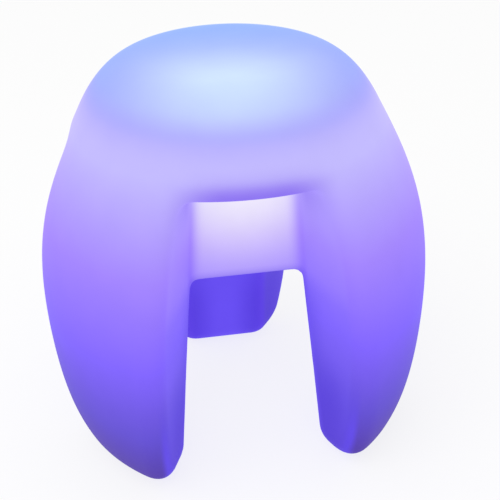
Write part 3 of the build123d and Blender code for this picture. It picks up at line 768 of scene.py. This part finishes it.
def moulded(name, colour, roughness, grain, cloud=0.06, depth=0.02, settings=()):
    """A moulded surface: noise with the mould's grain size, in millimetres, as bump and as uneven
    gloss, and in the colour the same grain over a wide, weak cloud. Depth is the grain's height in
    millimetres. Real grain is finer than this, so it is drawn coarse enough to show."""
    material, tree, shader, place = new_material(name, colour, roughness, settings)
    cells = add(tree, "ShaderNodeTexNoise", {"Scale": 1 / (grain * MM), "Detail": 3.0}, {
        "Vector": place,
    })
    wide = add(tree, "ShaderNodeTexNoise", {"Scale": 1 / cloud_width, "Detail": 2.0}, {
        "Vector": place,
    })
    both = add(tree, "ShaderNodeMath", {"operation": "ADD"}, {
        0: wide.outputs["Fac"], 1: cells.outputs["Fac"],
    })
    # Two noises added stay mostly between 0.7 and 1.3.
    share = add(tree, "ShaderNodeMapRange", {"From Min": 0.7, "From Max": 1.3}, {
        "Value": both.outputs[0],
    })
    body = add(tree, "ShaderNodeMix", {
        "data_type": "RGBA",
        FIRST_COLOUR: opaque(linear(colour) * (1 - cloud)),
        SECOND_COLOUR: opaque(np.minimum(linear(colour) * (1 + cloud), 1)),
    }, {0: share.outputs["Result"]})
    gloss = add(tree, "ShaderNodeMapRange", {
        "To Min": roughness * glossier, "To Max": min(roughness * duller, 1),
    }, {"Value": cells.outputs["Fac"]})
    bump = add(tree, "ShaderNodeBump", {"Strength": 1.0, "Distance": depth * MM}, {
        "Height": cells.outputs["Fac"],
    })
    plug(tree, shader, {
        "Base Color": body.outputs[MIXED_COLOUR],
        "Roughness": gloss.outputs["Result"],
        "Normal": bump.outputs["Normal"],
    })
    return material


# %% [markdown]
# ## Bare metal
# Turning, rolling or plating leaves marks that run one way, and the eye reads metal by how they
# streak the reflections. Anisotropic gloss could do it, but a noise drawn out along the marks also
# shows from near.

# %% Bare metal
mark_shade = 0.82
mark_depth = 0.01 * MM
polished, scuffed = 0.7, 1.4


def bare_metal(name, colour, roughness, mark, stretch=(1.0, 1.0, 1.0)):
    """A metal whose gloss and tone vary along the tool's marks: noise with a mark's width in
    millimetres, drawn out where stretch is small. Real marks are a tenth as wide, and wouldn't
    show."""
    material, tree, shader, place = new_material(name, colour, roughness, {"Metallic": 1.0})
    drawn = add(tree, "ShaderNodeMapping", {"Scale": stretch}, {"Vector": place})
    marks = add(tree, "ShaderNodeTexNoise", {"Scale": 1 / (mark * MM), "Detail": 4.0}, {
        "Vector": drawn.outputs["Vector"],
    })
    tone = add(tree, "ShaderNodeMix", {
        "data_type": "RGBA",
        FIRST_COLOUR: opaque(linear(colour) * mark_shade),
        SECOND_COLOUR: opaque(linear(colour)),
    }, {0: marks.outputs["Fac"]})
    gloss = add(tree, "ShaderNodeMapRange", {
        "To Min": roughness * polished, "To Max": roughness * scuffed,
    }, {"Value": marks.outputs["Fac"]})
    bump = add(tree, "ShaderNodeBump", {"Strength": 0.4, "Distance": mark_depth}, {
        "Height": marks.outputs["Fac"],
    })
    plug(tree, shader, {
        "Base Color": tone.outputs[MIXED_COLOUR],
        "Roughness": gloss.outputs["Result"],
        "Normal": bump.outputs["Normal"],
    })
    return material


# %% [markdown]
# ## Circuit boards
# A board is woven glass and resin, printed with copper tracks and lacquered with solder mask. Real
# tracks could be modelled one by one, but at this size a pattern of long thin cells that lift the
# lacquer a little reads as tracks, over the faint weave of the cloth.

# %% Circuit board
track_length = 9.0 * MM
track_pitch = 1.2 * MM
track_gap = 0.35 * MM
copper_thickness = 0.035 * MM
glass_weave = 0.5 * MM


def circuit_board(name, mask, track):
    """Glass-fibre board under solder mask. Copper tracks lift the mask a little and show through
    it, as long thin cells of a brick pattern, and the glass cloth shows as a fine crossed weave."""
    material, tree, shader, place = new_material(
        name, mask, 0.35, {"Coat Weight": 0.3, "Coat Roughness": 0.15}
    )
    copper, lacquer = opaque(linear(track)), opaque(linear(mask))
    tracks = add(tree, "ShaderNodeTexBrick", {
        "Color1": copper, "Color2": copper, "Mortar": lacquer, "Scale": 1.0, "Mortar Smooth": 0.1,
        "Brick Width": track_length, "Row Height": track_pitch, "Mortar Size": track_gap,
    }, {"Vector": place})
    weave = add(tree, "ShaderNodeTexChecker", {"Scale": 1 / glass_weave}, {"Vector": place})
    cloth = add(tree, "ShaderNodeMix", {"data_type": "RGBA", "blend_type": "MULTIPLY", 0: 0.10}, {
        FIRST_COLOUR: tracks.outputs["Color"], SECOND_COLOUR: weave.outputs["Color"],
    })
    # The pattern's Fac is 1 in the gaps, so the bump is turned over to raise the tracks.
    bump = add(tree, "ShaderNodeBump", {
        "Strength": 0.5, "Distance": copper_thickness, "invert": True,
    }, {"Height": tracks.outputs["Fac"]})
    plug(tree, shader, {
        "Base Color": cloth.outputs[MIXED_COLOUR], "Normal": bump.outputs["Normal"],
    })
    return material


# %% [markdown]
# ## A finish for each slot
# The model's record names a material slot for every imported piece. The finishes could be put on
# piece by piece, but a table from slot to finish shows all of them side by side, and no piece can
# be forgotten.

# %% A finish for each slot of the record
clear = {"Transmission Weight": 0.85, "IOR": 1.58}
finishes = {
    # ABS from a spark-eroded mould: dull and finely grained, so that it shows no fingerprints.
    "module_plastic": moulded("moulded_abs", "#6e6e74", 0.62, 0.9, 0.10, 0.07, {"IOR": 1.53}),
    # Frosted polycarbonate: clear stuff with a rough skin, which spreads the lamps' light.
    "lens": moulded("frosted_polycarbonate", "#f0f2f8", 0.42, 0.5, 0.02, settings=clear),
    # Polycarbonate dyed to pass infrared only: nearly black, with a red cast and a polished face.
    "smoked_window": moulded(
        "smoked_polycarbonate", "#3a1420", 0.10, 3.0, 0.2, 0.002, {"IOR": 1.58}
    ),
    # Moulded silicone: a soft matt black with a bloom that lightens it in patches.
    "black_rubber": moulded("moulded_silicone", "#2c2c2f", 0.78, 0.6, 0.30, 0.05, {"IOR": 1.41}),
    # The button is satin ABS, smoother than the plate, so that it is found by touch.
    "button_plastic": moulded("satin_abs", "#dfe0e2", 0.38, 1.2, 0.04, 0.015, {"IOR": 1.53}),
    # Turned brass with a rolled knurl that grips the plastic: warm yellow, streaked along its axis.
    "insert_brass": bare_metal("knurled_brass", "#dcb463", 0.30, 0.5, (1.0, 1.0, 0.2)),
    # Zinc plate over turned steel: pale, slightly blue, with drawn-out marks round the head.
    "screw_steel": bare_metal("zinc_plated_steel", "#c6c9ce", 0.34, 0.6, (1.0, 1.0, 0.25)),
    # Rolled sheet, left bare so that it takes the lamps' heat: pale, with marks along the rolling.
    "spreader_aluminium": bare_metal("rolled_aluminium", "#e0e1e4", 0.32, 0.6, (0.05, 1.0, 1.0)),
    # Bare nickel on the socket and the cells' link: a warmer grey than zinc, and glossier.
    "nickel": bare_metal("bare_nickel", "#d3cfc6", 0.22, 0.8),
    # White mask throws stray light back towards the lens. Its tracks barely show.
    "lamp_board_white": circuit_board("white_circuit_board", "#f1f1ee", "#e6e4da"),
    # The common green mask, with lighter tracks under a glossy lacquer.
    "board_green": circuit_board("green_circuit_board", "#175c36", "#2c7a4c"),
    # Clear resin over yellow phosphor, as on any white lamp chip.
    "lamp_resin": moulded(
        "phosphor_resin", "#f2e08a", 0.18, 0.6, 0.08, 0.004, {"Coat Weight": 0.6}
    ),
    # Heat-shrunk film on the cells: glossy, with faint wrinkles a few millimetres apart.
    "cell_wrap": moulded("shrunk_film", "#2d62a8", 0.24, 4.0, 0.08, 0.12, {"Coat Weight": 0.4}),
    # Undyed nylon: milky, a little light goes into it, and its skin is half dull.
    "strap_nylon": moulded(
        "natural_nylon", "#e6e5da", 0.50, 0.8, 0.05, 0.01, {"Subsurface Weight": 0.15}
    ),
    # Epoxy filled with ground glass: a dry, slightly speckled black.
    "chip_epoxy": moulded("filled_epoxy", "#2a2a2c", 0.66, 0.25, 0.15, 0.01),
    # Film shrunk over an aluminium can: grey, with a sheen of the metal under it.
    "capacitor_sleeve": moulded(
        "capacitor_sleeve_film", "#8e939e", 0.30, 2.5, 0.08, 0.03, {"Metallic": 0.6}
    ),
    # Extruded silicone sleeves on the wires: half dull and even, in the usual red and white.
    "red_wire": moulded("red_silicone_sleeve", "#c02c28", 0.45, 0.6, 0.08),
    "white_wire": moulded("white_silicone_sleeve", "#e2e2e0", 0.45, 0.6, 0.04),
    # Glossy red nylon, moulded in a polished mould.
    "switch_plastic": moulded("glossy_switch_nylon", "#b03a34", 0.26, 1.2, 0.05, 0.004),
}
for part in frame["record"]["subparts"]:
    if part["material_slot"] in finishes:
        finish(frame["nodes"][part["node"]], finishes[part["material_slot"]])
print(len(finishes), "finishes for", len(frame["nodes"]) - 1, "packed pieces")

# %% [markdown]
# ## The camera
# The picture looks down on the stool from a little above it, along one notch. A camera could be
# turned by hand until the view looks right, but nothing then says how good it is. Here its place
# and turns come from fitting the stool's outline, so they are odd numbers, and the stool's own turn
# is given to the camera.

# %% Camera
camera_reach = 932.3 * MM
camera_height = 742.5 * MM
camera_pitch = 30.07
camera_yaw = 1.07
camera_roll = -1.59
stool_turn = 7.43
focal_in_pixels = 991.2
image_width = 500
sensor_width = 36.0


def place_camera():
    """The camera stands camera_reach in front of the axis. It is pitched, yawed and rolled, and
    then turned about the axis by the angle that the stool is turned in the picture, because here a
    notch faces -Y. Angles are in degrees."""
    turn, pitch, yaw, roll = np.radians([-stool_turn, camera_pitch, camera_yaw, camera_roll])
    forward = np.array([
        math.sin(yaw) * math.cos(pitch), math.cos(yaw) * math.cos(pitch), -math.sin(pitch),
    ])
    level = np.array([math.cos(yaw), -math.sin(yaw), 0.0])
    upright = np.cross(level, forward)
    right = level * math.cos(roll) + upright * math.sin(roll)
    up = upright * math.cos(roll) - level * math.sin(roll)
    spin = np.array([
        [math.cos(turn), -math.sin(turn), 0.0],
        [math.sin(turn), math.cos(turn), 0.0],
        [0.0, 0.0, 1.0],
    ])
    place = spin @ np.array([0.0, -camera_reach, camera_height]) + axis
    rows = np.stack([spin @ right, spin @ up, spin @ -forward, place], 1).tolist()
    camera = bpy.data.objects.new("camera", bpy.data.cameras.new("camera"))
    bpy.context.collection.objects.link(camera)
    camera.matrix_world = mathutils.Matrix(rows + [[0.0, 0.0, 0.0, 1.0]])
    camera.data.sensor_width = sensor_width
    camera.data.lens = focal_in_pixels / image_width * sensor_width
    bpy.context.scene.camera = camera
    print("camera at", place.round(3), "with a lens of", round(camera.data.lens, 1), "mm")


place_camera()

# %% [markdown]
# ## The studio
# A plain pale floor, an even pale sky and one large soft lamp. More light would whiten the
# background too, but it would wash out the stool. So the sky is white where the camera or a
# reflection sees it, and a little dimmer as a light, and the floor has a share of plain white in it
# and keeps the stool's shadow. It is one-sided: a camera below it looks through, so that the module
# under the hub can be seen.

# %% Which rays see plain white
def seen_by(tree, *kinds):
    """1 where the ray is of one of these kinds, and 0 where it isn't."""
    rays = add(tree, "ShaderNodeLightPath")
    seen = rays.outputs[kinds[0]]
    for kind in kinds[1:]:
        either = {0: seen, 1: rays.outputs[kind]}
        seen = add(tree, "ShaderNodeMath", {"operation": "MAXIMUM"}, either).outputs[0]
    return seen


def times(tree, first, second):
    """One output times another output, or times a number."""
    both = add(tree, "ShaderNodeMath", {"operation": "MULTIPLY"}, {0: first})
    if isinstance(second, float):
        both.inputs[1].default_value = second
    else:
        plug(tree, both, {1: second})
    return both.outputs[0]


# %% Floor
floor_half_width = 4.0
white_share = 0.80


def build_floor():
    """A square floor of matt white, with a share of plain white in it for the camera and
    reflections. A camera ray that meets its underside goes through."""
    half = floor_half_width
    corners = [(-half, -half, 0), (half, -half, 0), (half, half, 0), (-half, half, 0)]
    mesh = bpy.data.meshes.new("floor")
    mesh.from_pydata(corners, [], [(0, 1, 2, 3)])
    floor = bpy.data.objects.new("floor", mesh)
    bpy.context.collection.objects.link(floor)
    material, tree, shader, _ = new_material(
        "matt_white_floor", "#fbfbfb", 0.9, {"Specular IOR Level": 0.1}
    )
    share = times(tree, seen_by(tree, "Is Camera Ray", "Is Glossy Ray"), white_share)
    white = add(tree, "ShaderNodeEmission", {"Color": (1.0, 1.0, 1.0, 1.0)})
    top = add(tree, "ShaderNodeMixShader", (), {
        0: share, 1: shader.outputs[0], 2: white.outputs[0],
    })
    underside = add(tree, "ShaderNodeNewGeometry").outputs["Backfacing"]
    through = times(tree, seen_by(tree, "Is Camera Ray"), underside)
    nothing = add(tree, "ShaderNodeBsdfTransparent")
    one_sided = add(tree, "ShaderNodeMixShader", (), {
        0: through, 1: top.outputs[0], 2: nothing.outputs[0],
    })
    output = next(node for node in tree.nodes if node.type == "OUTPUT_MATERIAL")
    plug(tree, output, {"Surface": one_sided.outputs[0]})
    finish(floor, material)
    print("floor", 2 * half, "m wide")


build_floor()


# %% Sky and lamp
sky_light, sky_seen = 0.80, 1.0
lamp_width = 2.4
lamp_watts = 30.0
lamp_stand = (-1.2, -1.4, 2.6)
lamp_aim = np.array([0.0, 0.0, 0.25])


def build_lights():
    """An even sky, white where it is seen and dimmer as a light, and a soft lamp on the left."""
    world = bpy.data.worlds.new("pale_sky")
    world.use_nodes = True
    tree = world.node_tree
    tree.nodes.clear()
    seen = seen_by(tree, "Is Camera Ray", "Is Glossy Ray", "Is Transmission Ray")
    strength = add(tree, "ShaderNodeMapRange", {"To Min": sky_light, "To Max": sky_seen}, {
        "Value": seen,
    })
    sky = add(tree, "ShaderNodeBackground", {"Color": (1, 1, 1, 1)}, {
        "Strength": strength.outputs["Result"],
    })
    add(tree, "ShaderNodeOutputWorld", links={"Surface": sky.outputs["Background"]})
    bpy.context.scene.world = world

    lamp = bpy.data.lights.new("soft_lamp", "AREA")
    lamp.shape = "SQUARE"
    lamp.size = lamp_width
    lamp.energy = lamp_watts
    place = bpy.data.objects.new("soft_lamp", lamp)
    bpy.context.collection.objects.link(place)
    place.location = lamp_stand
    aim = axis + lamp_aim - np.array(lamp_stand)
    place.rotation_euler = mathutils.Vector(aim).to_track_quat("-Z", "Y").to_euler()
    away = float(np.linalg.norm(aim))
    print("soft lamp of", lamp.energy, "W,", round(away, 2), "m from the stool")


build_lights()
bpy.context.scene.view_settings.view_transform = "Standard"
